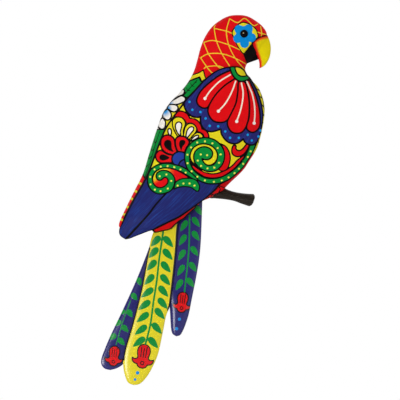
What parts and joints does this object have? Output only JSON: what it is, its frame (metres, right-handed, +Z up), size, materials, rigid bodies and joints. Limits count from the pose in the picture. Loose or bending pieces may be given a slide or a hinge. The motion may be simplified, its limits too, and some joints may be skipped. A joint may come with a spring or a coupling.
{
  "type": "parrot wall ornament",
  "caption": "Domed sheet-iron parrot in folk-painted enamel, with a raised wing, long tail feathers, a perch stub and a swinging ring behind to hang it on a wall.",
  "frame": {"origin": "the nail: the point on the wall plane where the raised hanger ring hangs, straight above the centre of mass", "axes": "+Z up along the wall, +X to the right seen from the front, +Y into the wall, so the painted front faces -Y"},
  "size_m": [0.2341, 0.0347, 0.5073],
  "materials": {
    "red_enamel": "gloss enamel, printed pattern",
    "yellow_enamel": "gloss enamel, printed pattern",
    "blue_enamel": "gloss enamel, printed pattern",
    "black_enamel": "gloss enamel",
    "brown_enamel": "satin enamel, painted grain",
    "dark_iron": "black iron bar",
    "zinc_steel": "zinc plated"
  },
  "bodies": {
    "parrot": {"body_shell": "red_enamel", "wing_shell": "yellow_enamel", "tail_feather_left": "blue_enamel", "tail_feather_centre": "yellow_enamel", "tail_feather_right": "blue_enamel", "upper_beak": "yellow_enamel", "lower_beak": "black_enamel", "eye_stud": "black_enamel", "perch_branch": "brown_enamel", "upper_bar": "dark_iron", "lower_bar": "dark_iron", "hanger_plate": "zinc_steel", "hanger_rivet_1": "zinc_steel", "hanger_rivet_2": "zinc_steel", "tail_rivet_left_1": "zinc_steel", "tail_rivet_left_2": "zinc_steel", "tail_rivet_centre_1": "zinc_steel", "tail_rivet_centre_2": "zinc_steel", "tail_rivet_right_1": "zinc_steel", "tail_rivet_right_2": "zinc_steel", "perch_rivet_1": "zinc_steel", "perch_rivet_2": "zinc_steel", "wing_stud_1": "zinc_steel", "wing_stud_2": "zinc_steel", "wing_stud_3": "zinc_steel"},
    "ring": {"hanger_ring": "zinc_steel"}
  },
  "joints": [
    {"name": "ring_swing", "type": "hinge", "parent": "parrot", "child": "ring", "pos_m": [0, -0.0047, -0.0185], "axis": [1, 0, 0], "range_deg": [0, 180]}
  ]
}
